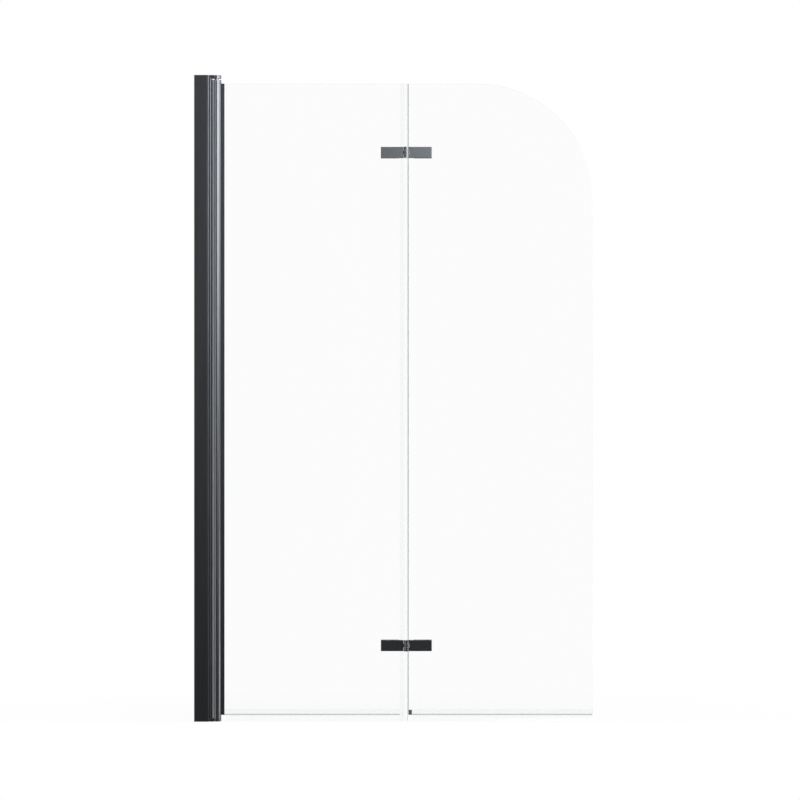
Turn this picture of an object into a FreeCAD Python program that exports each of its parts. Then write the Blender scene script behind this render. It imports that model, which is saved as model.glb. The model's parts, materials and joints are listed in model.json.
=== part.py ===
import FreeCAD, Part
import math
import os
import Sketcher

# Folding bath screen: two glass panes on a wall profile, shown closed and flat.
# The wall is the plane X = 0, the glass lies along +X in the plane Y = 0, the front faces -Y
# and the foot of the wall profile is at Z = 0. Lengths are millimetres.

SIZES = {
    # Wall profile
    "screen_height": 1400.0,
    "wall_profile_reach": 32.3,
    "wall_profile_depth": 26.0,
    "wall_flange_thickness": 1.6,
    "wall_web_thickness": 1.8,
    "wall_lip_width": 4.3,
    "wall_lip_radius": 1.2,
    "wall_lip_inside_radius": 0.4,
    "wall_facet_reach": 5.0,
    "wall_hole_radius": 2.75,
    "wall_hole_margin": 100.0,
    "channel_cap_height": 5.5,
    "channel_cap_clearance": 0.05,
    # Pivot profile
    "pivot_axis_reach": 48.0,
    "pivot_leg_start": 8.0,
    "pivot_leg_side_gap": 0.3,
    "pivot_leg_wall": 1.6,
    "pivot_head_gap": 1.0,
    "pivot_head_thickness": 4.9,
    "pivot_head_width": 23.0,
    "pivot_head_radius": 3.8,
    "column_running_gap": 1.1,
    # Width adjustment
    "slide_travel": 12.0,
    "adjusting_screw_reach": 12.5,
    "adjusting_screw_margin": 200.0,
    "adjusting_screw_radius": 2.0,
    "adjusting_screw_length": 9.0,
    "adjusting_head_radius": 3.9,
    "adjusting_head_height": 2.4,
    "adjusting_drive_radius": 2.0,
    "adjusting_drive_depth": 1.2,
    "adjusting_slot_clearance": 0.4,
    "washer_radius": 4.8,
    "washer_thickness": 0.9,
    "washer_float": 0.1,
    "cover_wall": 0.6,
    "cover_clearance": 0.1,
    # Pivot caps, pins and bushes
    "top_cap_height": 6.8,
    "bottom_cap_height": 7.3,
    "cap_wall_gap": 0.3,
    "cap_shoe_length": 8.9,
    "cap_round": 0.6,
    "cap_screw_inset": 2.7,
    "cap_screw_spacing": 15.0,
    "cap_screw_radius": 1.45,
    "cap_screw_head_radius": 2.6,
    "cap_screw_head_height": 1.6,
    "cap_screw_length": 20.0,
    "cap_screw_drive_radius": 1.1,
    "cap_screw_drive_depth": 1.0,
    "top_gap": 3.5,
    "bush_running_gap": 0.3,
    "top_bush_flange": 7.7,
    "bottom_bush_flange": 6.5,
    "bush_shank_length": 40.0,
    "pivot_pin_radius": 4.3,
    "pivot_pin_seat": 4.8,
    "pivot_pin_reach": 36.0,
    # Fits shared by all pieces
    "press_clearance": 0.02,
    "running_clearance": 0.05,
    "cut_overrun": 2.0,
    # Glass profile
    "column_radius": 10.2,
    "column_bore_radius": 7.0,
    "slot_wall": 2.0,
    "glass_leg_reach": 17.0,
    "glass_leg_thickness": 1.9,
    "gasket_thickness": 0.6,
    "gasket_web": 0.5,
    # Pivot seals
    "pivot_seal_gap": 0.35,
    "pivot_seal_rib_radius": 1.3,
    # Panes
    "glass_thickness": 6.0,
    "glass_bevel": 0.6,
    "pane_foot_inset": 0.9,
    "screen_width": 863.0,
    "corner_radius": 250.0,
    "fold_axis_reach": 459.3,
    "fold_glass_gap": 11.0,
    # Fold hinges
    "hinge_edge_distance": 149.5,
    "hinge_leaf_length": 55.2,
    "hinge_height": 24.0,
    "hinge_plate_thickness": 6.5,
    "hinge_plate_round": 0.8,
    "hinge_pad_thickness": 0.8,
    "knuckle_radius": 6.0,
    "knuckle_forward": 2.0,
    "knuckle_side_gap": 0.4,
    "knuckle_gap": 0.6,
    "neck_relief": 0.8,
    "back_plate_start": 16.0,
    "back_plate_thickness": 6.2,
    "hinge_pin_radius": 3.0,
    "hinge_pin_recess": 0.2,
    "hinge_bush_wall": 0.83,
    "hinge_bush_flange": 0.4,
    "hinge_bush_flange_radius": 5.2,
    "hinge_screw_first": 26.0,
    "hinge_screw_spacing": 18.0,
    "hinge_screw_radius": 2.5,
    "hinge_screw_head_radius": 4.8,
    "hinge_screw_head_height": 2.6,
    "hinge_screw_grip": 4.5,
    "hinge_screw_tip_gap": 0.5,
    "hinge_screw_drive_radius": 1.8,
    "hinge_screw_drive_depth": 1.6,
    "sleeve_wall": 1.9,
    "sleeve_clearance": 0.1,
    # Clear seals and the corner stop
    "seal_wall": 0.8,
    "seal_clip_reach": 8.6,
    "seal_rim_gap": 1.0,
    "seal_notch_gap": 0.5,
    "seal_end_gap": 0.3,
    "fold_bulb_reach": 10.6,
    "fold_bulb_radius": 3.5,
    "fold_bulb_wall": 0.6,
    "bottom_clip_height": 11.0,
    "bottom_web": 1.7,
    "bottom_lip_thickness": 0.9,
    "bottom_lip_spread": 1.7,
    "bottom_lip_gap": 1.5,
    "bottom_seal_end_inset": 1.0,
    "stop_overhang": 0.8,
    "stop_cover": 6.6,
    "stop_drop": 0.8,
    "stop_rise": 9.6,
    "stop_wall": 1.2,
    "stop_clearance": 0.05,
}

# Angles about the pivot axis in degrees, measured from the direction of the closed panes
FRONT_SEAL_TIP_ANGLE = 95.0
REAR_SEAL_TIP_ANGLE = 128.0
PIVOT_SEAL_ROOT_ANGLE = 165.0
FRONT_SEAL_RIB_ANGLES = (127.4, 100.6)

# Slope of the facet beside the wall profile's mouth in degrees
WALL_FACET_ANGLE = 3.5

# Screw holes through the wall profile, evenly spaced up its height
WALL_HOLE_COUNT = 4

# How near an edge has to be to a plane to count as in it
EDGE_TOLERANCE = 1e-4

# Places worked out from the sizes
PLACES = {
    "wall_half_depth": "=Sizes.wall_profile_depth / 2",
    "mouth_half_width": "=wall_half_depth - Sizes.wall_lip_width",
    "wall_mid_height": "=Sizes.screen_height / 2",
    "wall_hole_step": f"=(Sizes.screen_height - 2 * Sizes.wall_hole_margin) / {WALL_HOLE_COUNT - 1}",
    "flange_inside": "=wall_half_depth - Sizes.wall_flange_thickness",
    "facet_start": "=Sizes.wall_profile_reach - Sizes.wall_facet_reach",
    "facet_end": f"=Sizes.wall_profile_reach - Sizes.wall_lip_radius * (1 - sin({WALL_FACET_ANGLE} deg))",
    "facet_face": f"=wall_half_depth - (facet_end - facet_start) * tan({WALL_FACET_ANGLE} deg)",
    "lip_bend": f"=facet_face - Sizes.wall_lip_radius * cos({WALL_FACET_ANGLE} deg)",
    "lip_inside": "=Sizes.wall_profile_reach - Sizes.wall_flange_thickness",
    "inside_bend": "=lip_inside - Sizes.wall_lip_inside_radius",
    "leg_half_width": "=mouth_half_width - Sizes.pivot_leg_side_gap",
    "leg_inside": "=leg_half_width - Sizes.pivot_leg_wall",
    "head_start": "=Sizes.wall_profile_reach + Sizes.pivot_head_gap",
    "head_end": "=head_start + Sizes.pivot_head_thickness",
    "head_half_width": "=Sizes.pivot_head_width / 2",
    "cap_start": "=Sizes.wall_profile_reach + Sizes.cap_wall_gap",
    "cap_shoe_end": "=cap_start + Sizes.cap_shoe_length",
    "cap_screw_reach": "=head_start + Sizes.cap_screw_inset",
    "cap_screw_offset": "=Sizes.cap_screw_spacing / 2",
    "cradle_radius": "=Sizes.column_radius + Sizes.column_running_gap",
    "cradle_half_width": "=sqrt(cradle_radius^2 - (Sizes.pivot_axis_reach - head_end)^2)",
    "frame_bottom": "=Sizes.bottom_cap_height",
    "frame_top": "=Sizes.screen_height - Sizes.top_cap_height",
    "profile_bottom": "=frame_bottom + Sizes.bush_running_gap + Sizes.bottom_bush_flange",
    "glass_bottom": "=profile_bottom + Sizes.pane_foot_inset",
    "top_bush_top": "=frame_top - Sizes.top_gap",
    "glass_top": "=top_bush_top - Sizes.top_bush_flange",
    "glass_face": "=Sizes.glass_thickness / 2",
    "slot_half_width": "=glass_face + Sizes.gasket_thickness",
    "glass_leg_face": "=slot_half_width + Sizes.glass_leg_thickness",
    "glass_leg_end": "=Sizes.pivot_axis_reach + Sizes.glass_leg_reach",
    "glass_leg_root": "=Sizes.pivot_axis_reach + sqrt(Sizes.column_radius^2 - glass_leg_face^2)",
    "slot_start": "=Sizes.pivot_axis_reach + Sizes.column_bore_radius + Sizes.slot_wall",
    "inner_glass_start": "=slot_start + Sizes.gasket_web",
    "inner_glass_end": "=Sizes.fold_axis_reach - Sizes.fold_glass_gap / 2",
    "outer_glass_start": "=Sizes.fold_axis_reach + Sizes.fold_glass_gap / 2",
    "pad_face": "=glass_face + Sizes.hinge_pad_thickness",
    "plate_face": "=pad_face + Sizes.hinge_plate_thickness",
    "back_plate_face": "=pad_face + Sizes.back_plate_thickness",
    "fold_axis_offset": "=plate_face + Sizes.knuckle_forward",
    "upper_hinge_height": "=glass_top - Sizes.hinge_edge_distance",
    "lower_hinge_height": "=glass_bottom + Sizes.hinge_edge_distance",
    "knuckle_end": "=Sizes.hinge_height / 2",
    "knuckle_height": "=(Sizes.hinge_height - 2 * Sizes.knuckle_gap) / 3",
    "plate_start": "=Sizes.knuckle_radius + Sizes.knuckle_side_gap",
    "hinge_bush_bore": "=Sizes.hinge_pin_radius + Sizes.running_clearance",
    "hinge_bush_radius": "=hinge_bush_bore + Sizes.hinge_bush_wall",
    "sleeve_bore": "=Sizes.hinge_screw_radius + Sizes.sleeve_clearance",
    "sleeve_radius": "=sleeve_bore + Sizes.sleeve_wall",
    "glass_hole_radius": "=sleeve_radius + Sizes.sleeve_clearance",
    "bush_bore": "=Sizes.pivot_pin_radius + Sizes.running_clearance",
    "bush_shank_radius": "=Sizes.column_bore_radius - Sizes.running_clearance",
    "washer_seat": "=wall_half_depth + Sizes.washer_float",
    "head_seat": "=washer_seat + Sizes.washer_thickness",
    "cover_bore": "=Sizes.washer_radius + Sizes.cover_clearance",
    "cover_floor": "=head_seat + Sizes.adjusting_head_height + Sizes.cover_clearance",
    "seal_face": "=glass_face + Sizes.seal_wall",
    "seal_clip_start": "=inner_glass_end - Sizes.seal_clip_reach",
    "bulb_root": "=inner_glass_end + Sizes.seal_wall",
    "bulb_centre": "=inner_glass_end + Sizes.fold_bulb_reach - Sizes.fold_bulb_radius",
    "bulb_inside": "=Sizes.fold_bulb_radius - Sizes.fold_bulb_wall",
    "bulb_inside_start": "=bulb_root + bulb_inside",
    "clip_top": "=glass_bottom + Sizes.bottom_clip_height",
    "web_bottom": "=glass_bottom - Sizes.bottom_web",
    "lip_out": "=seal_face + Sizes.bottom_lip_spread",
    "stop_start": "=outer_glass_start - Sizes.stop_overhang",
    "stop_end": "=outer_glass_start + Sizes.stop_cover",
    "stop_face": "=glass_face + Sizes.stop_wall",
    "stop_top": "=glass_bottom + Sizes.stop_rise",
}

doc = FreeCAD.newDocument("folding_bath_screen")
pieces = []


def fill_sheet(name, cells):
    """Spreadsheet with one named cell to a row."""
    sheet = doc.addObject("Spreadsheet::Sheet", name)
    for row, (alias, content) in enumerate(cells.items(), start=1):
        sheet.set(f"A{row}", alias)
        sheet.set(f"B{row}", str(content))
        sheet.setAlias(f"B{row}", alias)
    doc.recompute()
    return sheet


sizes = fill_sheet("Sizes", SIZES)
places = fill_sheet("Places", PLACES)


def number(expression):
    """What an expression over the two sheets comes to."""
    return float(sizes.evalExpression(expression))


def piece(item, label):
    """Enter a finished sub-part under the name of its file."""
    item.Label = label
    pieces.append(item)
    return item


def mirrored(span):
    """The span on the other side of zero."""
    return (f"-({span[1]})", f"-({span[0]})")


def both(half):
    """Span of one half width to each side of zero."""
    return (f"-({half})", half)


def about(centre, half):
    """Span of one half width to each side of a centre."""
    return (f"{centre} - {half}", f"{centre} + {half}")


# Solids

TURNS = {
    "X": FreeCAD.Rotation(FreeCAD.Vector(0, 1, 0), 90),
    "Y": FreeCAD.Rotation(FreeCAD.Vector(1, 0, 0), -90),
    "Z": FreeCAD.Rotation(),
}


def place(item, x, y, z):
    """Bind the place of a solid."""
    item.setExpression("Placement.Base.x", x)
    item.setExpression("Placement.Base.y", y)
    item.setExpression("Placement.Base.z", z)
    return item


def box(name, x, y, z):
    """Box over a span along each axis."""
    item = doc.addObject("Part::Box", name)
    item.setExpression("Length", f"({x[1]}) - ({x[0]})")
    item.setExpression("Width", f"({y[1]}) - ({y[0]})")
    item.setExpression("Height", f"({z[1]}) - ({z[0]})")
    return place(item, x[0], y[0], z[0])


def on_axis(item, axis, span, across):
    """Lay a solid of revolution or a prism along an axis, from the start of its span."""
    item.setExpression("Height", f"({span[1]}) - ({span[0]})")
    item.Placement = FreeCAD.Placement(FreeCAD.Vector(), TURNS[axis])
    spot = {"X": (span[0], *across), "Y": (across[0], span[0], across[1]), "Z": (*across, span[0])}
    return place(item, *spot[axis])


def rod(name, radius, axis, span, across):
    """Cylinder along an axis, across being its other two coordinates."""
    item = doc.addObject("Part::Cylinder", name)
    item.setExpression("Radius", radius)
    return on_axis(item, axis, span, across)


def cone(name, start_radius, end_radius, axis, span, across):
    """Cone frustum along an axis."""
    item = doc.addObject("Part::Cone", name)
    item.setExpression("Radius1", start_radius)
    item.setExpression("Radius2", end_radius)
    return on_axis(item, axis, span, across)


def hexagon(name, radius, axis, span, across):
    """Six-sided prism along an axis."""
    item = doc.addObject("Part::Prism", name)
    item.Polygon = 6
    item.setExpression("Circumradius", radius)
    return on_axis(item, axis, span, across)


def fuse(name, solids):
    """One solid from several that meet."""
    item = doc.addObject("Part::MultiFuse", name)
    item.Shapes = solids
    item.Refine = True
    return item


def cut(name, base, tools):
    """A solid less one or more tools."""
    item = doc.addObject("Part::Cut", name)
    item.Base = base
    item.Tool = tools[0] if len(tools) == 1 else fuse(f"{name}_tools", tools)
    item.Refine = True
    return item


def group(name, solids):
    """Separate like solids that share a node."""
    item = doc.addObject("Part::Compound", name)
    item.Links = solids
    return item


def lies_at(edge, axis, level):
    """Whether an edge lies in the plane at a level along an axis."""
    ends = (getattr(edge.BoundBox, f"{axis}Min"), getattr(edge.BoundBox, f"{axis}Max"))
    return all(math.isclose(end, level, abs_tol=EDGE_TOLERANCE) for end in ends)


def rounded(name, base, radius, chosen):
    """Round the edges of a solid that a test chooses."""
    doc.recompute()
    size = number(radius)
    item = doc.addObject("Part::Fillet", name)
    item.Base = base
    item.Edges = [(i, size, size) for i, edge in enumerate(base.Shape.Edges, start=1) if chosen(edge)]
    return item


# Sketched profiles

def draw_arc(start, end, radius, turn):
    """Arc of under a half circle between two points, turning left or right on the way."""
    chord = end - start
    side = FreeCAD.Vector(-chord.y, chord.x, 0).normalize() * (1 if turn == "left" else -1)
    centre = (start + end) / 2 + side * math.sqrt(radius**2 - chord.Length**2 / 4)
    first, last = (start, end) if turn == "left" else (end, start)
    angles = [math.atan2(p.y - centre.y, p.x - centre.x) for p in (first, last)]
    circle = Part.Circle(centre, FreeCAD.Vector(0, 0, 1), radius)
    return Part.ArcOfCircle(circle, *angles)


def tie_point(sketch, geometry, position, x, y):
    """Bind a point's two coordinates."""
    for kind, expression in (("DistanceX", x), ("DistanceY", y)):
        rule = Sketcher.Constraint(kind, -1, 1, geometry, position, number(expression))
        sketch.setExpression(f"Constraints[{sketch.addConstraint(rule)}]", expression)


def draw_outline(sketch, corners):
    """Closed outline. A corner is x and y, and a radius and turn where an arc runs to the next one."""
    points = [FreeCAD.Vector(number(c[0]), number(c[1]), 0) for c in corners]
    ends = []
    for i, corner in enumerate(corners):
        start = points[i]
        end = points[(i + 1) % len(points)]
        if len(corner) == 2:
            geometry = sketch.addGeometry(Part.LineSegment(start, end))
            ends.append((geometry, 1, 2))
            continue
        radius, turn = corner[2:]
        geometry = sketch.addGeometry(draw_arc(start, end, number(radius), turn))
        ends.append((geometry, 1, 2) if turn == "left" else (geometry, 2, 1))
        rule = sketch.addConstraint(Sketcher.Constraint("Radius", geometry, number(radius)))
        sketch.setExpression(f"Constraints[{rule}]", radius)
    for i, (geometry, first, last) in enumerate(ends):
        after, after_first, _ = ends[(i + 1) % len(ends)]
        sketch.addConstraint(Sketcher.Constraint("Coincident", geometry, last, after, after_first))
        tie_point(sketch, geometry, first, *corners[i][:2])


def draw_circle(sketch, x, y, radius):
    """Round hole in an outline."""
    centre = FreeCAD.Vector(number(x), number(y), 0)
    circle = Part.Circle(centre, FreeCAD.Vector(0, 0, 1), number(radius))
    geometry = sketch.addGeometry(circle)
    rule = sketch.addConstraint(Sketcher.Constraint("Radius", geometry, number(radius)))
    sketch.setExpression(f"Constraints[{rule}]", radius)
    tie_point(sketch, geometry, 3, x, y)


def profile(name, plane, outlines, span, circles=(), symmetric=False):
    """Body padded from a sketch on an origin plane, over a span along the plane's normal."""
    body = doc.addObject("PartDesign::Body", name)
    sketch = body.newObject("Sketcher::SketchObject", f"{name}_sketch")
    origin_plane = next(f for f in body.Origin.OriginFeatures if f.Role == plane)
    sketch.AttachmentSupport = [(origin_plane, "")]
    sketch.MapMode = "FlatFace"
    for corners in outlines:
        draw_outline(sketch, corners)
    for x, y, radius in circles:
        draw_circle(sketch, x, y, radius)
    pad = body.newObject("PartDesign::Pad", f"{name}_pad")
    pad.Profile = sketch
    pad.setExpression("Length", f"({span[1]}) - ({span[0]})")
    if symmetric:
        pad.SideType = "Symmetric"
        return body
    axis = {"XY_Plane": "z", "YZ_Plane": "x"}[plane]
    body.setExpression(f"Placement.Base.{axis}", span[0])
    return body


def rectangle(x, y):
    """Outline of a rectangle over two spans."""
    return [(x[0], y[0]), (x[1], y[0]), (x[1], y[1]), (x[0], y[1])]


def past(span, start=True, end=True):
    """A cut's span, carried past the faces that it goes through."""
    first = f"{span[0]} - Sizes.cut_overrun" if start else span[0]
    last = f"{span[1]} + Sizes.cut_overrun" if end else span[1]
    return (first, last)


# Wall profile and its plugs

ADJUSTING_HEIGHTS = (
    "Sizes.adjusting_screw_margin",
    "Places.wall_mid_height",
    "Sizes.screen_height - Sizes.adjusting_screw_margin",
)


def adjusting_slot(name, height):
    """Tool for a slot in the rear flange, as long as the travel of its screw."""
    half = "(Sizes.adjusting_screw_radius + Sizes.adjusting_slot_clearance)"
    start = "Sizes.adjusting_screw_reach"
    end = "Sizes.adjusting_screw_reach + Sizes.slide_travel"
    depth = past(("Places.flange_inside", "Places.wall_half_depth"))
    ends = [rod(f"{name}_{i}", half, "Y", depth, (x, height)) for i, x in enumerate((start, end))]
    return fuse(name, ends + [box(f"{name}_run", (start, end), depth, about(height, half))])


def wall_profile():
    """Channel with a shallow facet beside its mouth and rounded lips that turn in."""
    reach, radius = "Sizes.wall_profile_reach", "Sizes.wall_lip_radius"
    side, inside = "Places.wall_half_depth", "Places.flange_inside"
    inner = "Sizes.wall_lip_inside_radius"
    lower = [
        ("0", f"-{side}"),
        ("Places.facet_start", f"-{side}"),
        ("Places.facet_end", "-Places.facet_face", radius, "left"),
        (reach, "-Places.lip_bend"),
        (reach, "-Places.mouth_half_width"),
        ("Places.lip_inside", "-Places.mouth_half_width"),
        ("Places.lip_inside", f"-{inside} + {inner}", inner, "right"),
        ("Places.inside_bend", f"-{inside}"),
        ("Sizes.wall_web_thickness", f"-{inside}"),
    ]
    upper = [
        ("Sizes.wall_web_thickness", inside),
        ("Places.inside_bend", inside, inner, "right"),
        ("Places.lip_inside", f"{inside} - {inner}"),
        ("Places.lip_inside", "Places.mouth_half_width"),
        (reach, "Places.mouth_half_width"),
        (reach, "Places.lip_bend", radius, "left"),
        ("Places.facet_end", "Places.facet_face"),
        ("Places.facet_start", side),
        ("0", side),
    ]
    channel = profile("wall_channel", "XY_Plane", [lower + upper], ("0", "Sizes.screen_height"))
    tools = []
    through = past(("0", "Sizes.wall_web_thickness"))
    for i in range(WALL_HOLE_COUNT):
        spot = ("0", f"Sizes.wall_hole_margin + {i} * Places.wall_hole_step")
        tools.append(rod(f"wall_hole_{i}", "Sizes.wall_hole_radius", "X", through, spot))
    for i, height in enumerate(ADJUSTING_HEIGHTS):
        tools.append(adjusting_slot(f"adjusting_slot_{i}", height))
    piece(cut("wall_profile_cut", channel, tools), "wall_profile")


def channel_cap(label, span):
    """Plug that fills the end of the channel between its web and its lips."""
    gap = "Sizes.channel_cap_clearance"
    start = f"Sizes.wall_web_thickness + {gap}"
    bend = "Places.inside_bend"
    end = f"Places.lip_inside - {gap}"
    mouth = f"Places.mouth_half_width - {gap}"
    plug = box(f"{label}_plug", (start, bend), both(f"(Places.flange_inside - {gap})"), span)
    nose = box(f"{label}_nose", (bend, end), both(f"({mouth})"), span)
    tongue = box(f"{label}_tongue", (end, "Sizes.wall_profile_reach"), both(f"({mouth})"), span)
    piece(fuse(f"{label}_solid", [plug, nose, tongue]), label)


# Pivot profile and what it carries

def pivot_profile():
    """Hollow leg inside the channel, and a head hollowed out around the column."""
    leg, head = "Places.leg_half_width", "Places.head_half_width"
    start, end = "Places.head_start", "Places.head_end"
    radius = "Sizes.pivot_head_radius"
    bend = f"{end} - {radius}"
    outline = [
        ("Sizes.pivot_leg_start", f"-{leg}"),
        (start, f"-{leg}"),
        (start, f"-{head}"),
        (bend, f"-{head}", radius, "left"),
        (end, f"-{head} + {radius}"),
        (end, "-Places.cradle_half_width", "Places.cradle_radius", "right"),
        (end, "Places.cradle_half_width"),
        (end, f"{head} - {radius}", radius, "left"),
        (bend, head),
        (start, head),
        (start, leg),
        ("Sizes.pivot_leg_start", leg),
    ]
    hollow_x = ("Sizes.pivot_leg_start + Sizes.pivot_leg_wall", f"{start} - Sizes.pivot_leg_wall")
    hollow = rectangle(hollow_x, both("Places.leg_inside"))
    port = "Sizes.cap_screw_radius + Sizes.running_clearance"
    ports = [("Places.cap_screw_reach", f"{sign}Places.cap_screw_offset", port) for sign in ("-", "")]
    span = ("Places.frame_bottom", "Places.frame_top")
    bar = profile("pivot_bar", "XY_Plane", [outline, hollow], span, ports)
    tapped = "Sizes.adjusting_screw_radius + Sizes.press_clearance"
    depth = past(("Places.leg_inside", leg))
    holes = [
        rod(f"tapped_hole_{i}", tapped, "Y", depth, ("Sizes.adjusting_screw_reach", height))
        for i, height in enumerate(ADJUSTING_HEIGHTS)
    ]
    piece(cut("pivot_profile_cut", bar, holes), "pivot_profile")


def pivot_cap(label, inner, outer, outward):
    """End piece over the pivot profile's head, with a round nose over the column and a blind pin hole."""
    low, high = (inner, outer) if outward > 0 else (outer, inner)
    span = (low, high)
    axis = ("Sizes.pivot_axis_reach", "0")
    shoe_x = ("Places.cap_start", "Places.cap_shoe_end")
    shoe = box(f"{label}_shoe", shoe_x, both("Places.head_half_width"), span)
    nose = rod(f"{label}_nose", "Sizes.column_radius", "Z", span, axis)
    blank = fuse(f"{label}_blank", [shoe, nose])
    face = number(outer)
    outer_edge = lambda edge: lies_at(edge, "Z", face)
    smooth = rounded(f"{label}_rounded", blank, "Sizes.cap_round", outer_edge)
    sign = "+" if outward > 0 else "-"
    back = "-" if outward > 0 else "+"
    seat = [inner, f"{inner} {sign} Sizes.pivot_pin_seat"]
    seat_span = past(seat, end=False) if outward > 0 else past(seat[::-1], start=False)
    bore = "Sizes.pivot_pin_radius + Sizes.press_clearance"
    tools = [rod(f"{label}_pin_hole", bore, "Z", seat_span, axis)]
    shank = "(Sizes.cap_screw_radius + Sizes.running_clearance)"
    head = "(Sizes.cap_screw_head_radius + Sizes.running_clearance)"
    head_root = f"{outer} {back} Sizes.cap_screw_head_height"
    for i, side in enumerate(("-", "")):
        spot = ("Places.cap_screw_reach", f"{side}Places.cap_screw_offset")
        tools.append(rod(f"{label}_screw_hole_{i}", shank, "Z", past(span), spot))
        if outward > 0:
            sink = cone(f"{label}_sink_{i}", shank, head, "Z", (head_root, outer), spot)
        else:
            sink = cone(f"{label}_sink_{i}", head, shank, "Z", (outer, head_root), spot)
        tools.append(sink)
    piece(cut(f"{label}_cut", smooth, tools), label)


def cap_screw(name, outer, outward, side):
    """Countersunk screw with a hexagon socket, flush with the cap's outer face."""
    spot = ("Places.cap_screw_reach", f"{side}Places.cap_screw_offset")
    back = "-" if outward > 0 else "+"
    shank, head = "Sizes.cap_screw_radius", "Sizes.cap_screw_head_radius"
    head_root = f"{outer} {back} Sizes.cap_screw_head_height"
    tip = f"{outer} {back} Sizes.cap_screw_length"
    floor = f"{outer} {back} Sizes.cap_screw_drive_depth"
    if outward > 0:
        solids = [
            rod(f"{name}_shank", shank, "Z", (tip, head_root), spot),
            cone(f"{name}_head", shank, head, "Z", (head_root, outer), spot),
        ]
        socket_span = past((floor, outer), start=False)
    else:
        solids = [
            rod(f"{name}_shank", shank, "Z", (head_root, tip), spot),
            cone(f"{name}_head", head, shank, "Z", (outer, head_root), spot),
        ]
        socket_span = past((outer, floor), end=False)
    socket = hexagon(f"{name}_socket", "Sizes.cap_screw_drive_radius", "Z", socket_span, spot)
    return cut(name, fuse(f"{name}_blank", solids), [socket])


def pivot_pin(label, span):
    """Plain pin, held in a cap and reaching into a bush."""
    axis = ("Sizes.pivot_axis_reach", "0")
    piece(rod(f"{label}_rod", "Sizes.pivot_pin_radius", "Z", span, axis), label)


def ring_sector(name, inner, outer, first, last, span):
    """Part of a tube about the pivot axis between two angles."""
    axis = ("Sizes.pivot_axis_reach", "0")
    sector = rod(f"{name}_sector", outer, "Z", span, axis)
    sector.Angle = last - first
    sector.Placement.Rotation = FreeCAD.Rotation(FreeCAD.Vector(0, 0, 1), first)
    return cut(name, sector, [rod(f"{name}_inside", inner, "Z", past(span), axis)])


def pivot_seals():
    """Strips held in the cradle that close the gap beside the column, the front one with two ribs."""
    inner = "(Sizes.column_radius + Sizes.pivot_seal_gap)"
    outer = "(Places.cradle_radius - Sizes.running_clearance)"
    span = ("Places.frame_bottom", "Places.top_bush_top")
    root = PIVOT_SEAL_ROOT_ANGLE
    front = ring_sector("front_strip", inner, outer, -root, -FRONT_SEAL_TIP_ANGLE, span)
    rib = "Sizes.pivot_seal_rib_radius"
    ribs = []
    for i, angle in enumerate(FRONT_SEAL_RIB_ANGLES):
        x = f"Sizes.pivot_axis_reach + ({inner} + {rib}) * cos({angle} deg)"
        y = f"-({inner} + {rib}) * sin({angle} deg)"
        ribs.append(rod(f"front_rib_{i}", rib, "Z", span, (x, y)))
    piece(fuse("front_pivot_seal_solid", [front] + ribs), "front_pivot_seal")
    rear = ring_sector("rear_strip", inner, outer, REAR_SEAL_TIP_ANGLE, root, span)
    piece(rear, "rear_pivot_seal")


# Width adjustment on the rear flange

def adjusting_screw(name, height):
    """Pan head screw through the slot into the pivot profile."""
    spot = ("Sizes.adjusting_screw_reach", height)
    seat = "Places.head_seat"
    top = f"{seat} + Sizes.adjusting_head_height"
    shank_span = (f"{seat} - Sizes.adjusting_screw_length", seat)
    shank = rod(f"{name}_shank", "Sizes.adjusting_screw_radius", "Y", shank_span, spot)
    head = rod(f"{name}_head", "Sizes.adjusting_head_radius", "Y", (seat, top), spot)
    floor = f"{top} - Sizes.adjusting_drive_depth"
    socket_span = past((floor, top), start=False)
    socket = hexagon(f"{name}_socket", "Sizes.adjusting_drive_radius", "Y", socket_span, spot)
    return cut(name, fuse(f"{name}_blank", [shank, head]), [socket])


def adjusting_washer(name, height):
    """Flat washer between the rear flange and the screw's head."""
    spot = ("Sizes.adjusting_screw_reach", height)
    span = ("Places.washer_seat", "Places.head_seat")
    disc = rod(f"{name}_disc", "Sizes.washer_radius", "Y", span, spot)
    hole = "Sizes.adjusting_screw_radius + Sizes.running_clearance"
    return cut(name, disc, [rod(f"{name}_hole", hole, "Y", past(span), spot)])


def adjusting_cover(name, height):
    """Cap that snaps over the washer and hides the screw's head."""
    spot = ("Sizes.adjusting_screw_reach", height)
    span = ("Places.washer_seat", "Places.cover_floor + Sizes.cover_wall")
    shell = rod(f"{name}_shell", "Places.cover_bore + Sizes.cover_wall", "Y", span, spot)
    inside = past(("Places.washer_seat", "Places.cover_floor"), end=False)
    return cut(name, shell, [rod(f"{name}_inside", "Places.cover_bore", "Y", inside, spot)])


# Glass profile, gasket and bushes

def glass_profile():
    """Round column with a pin bore, and two legs around the pane's edge."""
    leg, slot, end = "Places.glass_leg_face", "Places.slot_half_width", "Places.glass_leg_end"
    column = "Sizes.column_radius"
    outline = [
        ("Places.glass_leg_root", f"-{leg}"),
        (end, f"-{leg}"),
        (end, f"-{slot}"),
        ("Places.slot_start", f"-{slot}"),
        ("Places.slot_start", slot),
        (end, slot),
        (end, leg),
        ("Places.glass_leg_root", leg, column, "left"),
        (f"Sizes.pivot_axis_reach - {column}", "0", column, "left"),
    ]
    bore = [("Sizes.pivot_axis_reach", "0", "Sizes.column_bore_radius")]
    span = ("Places.profile_bottom", "Places.glass_top")
    piece(profile("glass_bar", "XY_Plane", [outline], span, bore), "glass_profile")


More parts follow.
